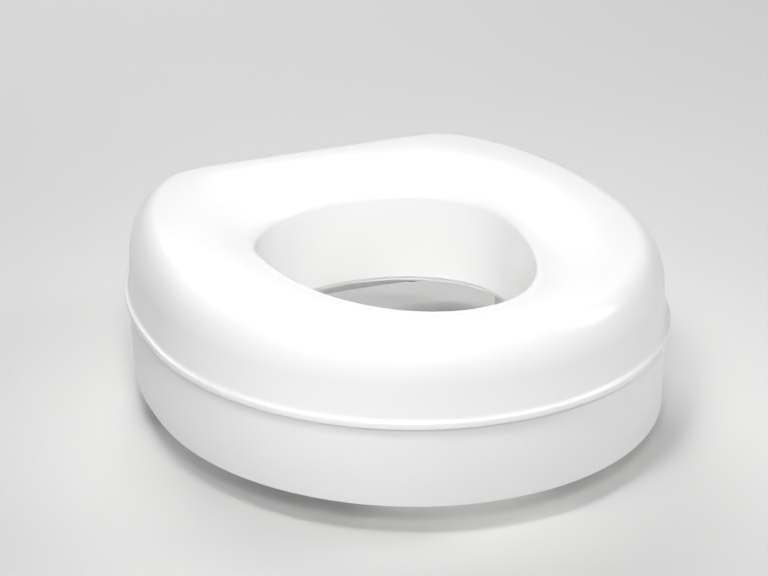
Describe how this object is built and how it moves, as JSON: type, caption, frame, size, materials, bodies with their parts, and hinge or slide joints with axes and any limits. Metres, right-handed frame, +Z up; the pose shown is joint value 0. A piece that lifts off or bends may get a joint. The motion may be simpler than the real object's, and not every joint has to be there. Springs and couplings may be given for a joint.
{
  "type": "raised toilet seat",
  "caption": "Raised toilet seat with a contoured top, egg-shaped opening and straight back on a riser base; clamped brackets underneath grip the inside of the bowl.",
  "frame": {"origin": "under the middle of the seat's outline, in the plane of the bracket feet; the bowl rim's plane is 24 mm above it", "axes": "+X to the right, -Y to the front, +Z up"},
  "size_m": [0.392, 0.424, 0.151],
  "materials": {
    "seat_white": "white injection-moulded polypropylene, glossy",
    "base_white": "white injection-moulded polypropylene, satin gloss",
    "bracket_white": "white moulded polyamide, fine matt texture",
    "knob_grey": "grey moulded polyamide, fine matt texture",
    "grey_rubber": "grey moulded rubber",
    "zinc_steel": "bright zinc plate"
  },
  "bodies": {
    "seat": {"seat_shell": "seat_white", "riser_base": "base_white", "shell_screws": "zinc_steel", "rim_pads": "grey_rubber", "deck_bolts": "zinc_steel"},
    "bracket_fr": {"bracket_fr": "bracket_white", "bracket_pad_fr": "grey_rubber"},
    "washer_fr": {"washer_fr": "zinc_steel"},
    "knob_fr": {"knob_fr": "knob_grey", "nut_fr": "zinc_steel"},
    "bracket_fl": {"bracket_fl": "bracket_white", "bracket_pad_fl": "grey_rubber"},
    "washer_fl": {"washer_fl": "zinc_steel"},
    "knob_fl": {"knob_fl": "knob_grey", "nut_fl": "zinc_steel"},
    "bracket_rr": {"bracket_rr": "bracket_white", "bracket_pad_rr": "grey_rubber"},
    "washer_rr": {"washer_rr": "zinc_steel"},
    "knob_rr": {"knob_rr": "knob_grey", "nut_rr": "zinc_steel"},
    "bracket_rl": {"bracket_rl": "bracket_white", "bracket_pad_rl": "grey_rubber"},
    "washer_rl": {"washer_rl": "zinc_steel"},
    "knob_rl": {"knob_rl": "knob_grey", "nut_rl": "zinc_steel"}
  },
  "joints": [
    {"name": "bracket_slide_fr", "type": "slide", "parent": "seat", "child": "bracket_fr", "axis": [0.8795, -0.4759, 0], "range_m": [-0.008, 0.008]},
    {"name": "washer_lift_fr", "type": "slide", "parent": "seat", "child": "washer_fr", "axis": [0, 0, -1], "range_m": [0, 0.002]},
    {"name": "knob_turn_fr", "type": "hinge", "parent": "washer_fr", "child": "knob_fr", "pos_m": [0.11001, -0.09001, 0.044], "axis": [0, 0, -1], "range_deg": [0, 720]},
    {"name": "bracket_slide_fl", "type": "slide", "parent": "seat", "child": "bracket_fl", "axis": [-0.8795, -0.4759, 0], "range_m": [-0.008, 0.008]},
    {"name": "washer_lift_fl", "type": "slide", "parent": "seat", "child": "washer_fl", "axis": [0, 0, -1], "range_m": [0, 0.002]},
    {"name": "knob_turn_fl", "type": "hinge", "parent": "washer_fl", "child": "knob_fl", "pos_m": [-0.11001, -0.09001, 0.044], "axis": [0, 0, -1], "range_deg": [0, 720]},
    {"name": "bracket_slide_rr", "type": "slide", "parent": "seat", "child": "bracket_rr", "axis": [0.9798, 0.1999, 0], "range_m": [-0.008, 0.008]},
    {"name": "washer_lift_rr", "type": "slide", "parent": "seat", "child": "washer_rr", "axis": [0, 0, -1], "range_m": [0, 0.002]},
    {"name": "knob_turn_rr", "type": "hinge", "parent": "washer_rr", "child": "knob_rr", "pos_m": [0.13681, 0.0544, 0.044], "axis": [0, 0, -1], "range_deg": [0, 720]},
    {"name": "bracket_slide_rl", "type": "slide", "parent": "seat", "child": "bracket_rl", "axis": [-0.9798, 0.1999, 0], "range_m": [-0.008, 0.008]},
    {"name": "washer_lift_rl", "type": "slide", "parent": "seat", "child": "washer_rl", "axis": [0, 0, -1], "range_m": [0, 0.002]},
    {"name": "knob_turn_rl", "type": "hinge", "parent": "washer_rl", "child": "knob_rl", "pos_m": [-0.13681, 0.0544, 0.044], "axis": [0, 0, -1], "range_deg": [0, 720]}
  ],
  "couplings": [
    {"joint": "washer_lift_fr", "follows": "knob_turn_fr", "m_per_rad": 0.00015915},
    {"joint": "washer_lift_fl", "follows": "knob_turn_fl", "m_per_rad": 0.00015915},
    {"joint": "washer_lift_rr", "follows": "knob_turn_rr", "m_per_rad": 0.00015915},
    {"joint": "washer_lift_rl", "follows": "knob_turn_rl", "m_per_rad": 0.00015915}
  ]
}
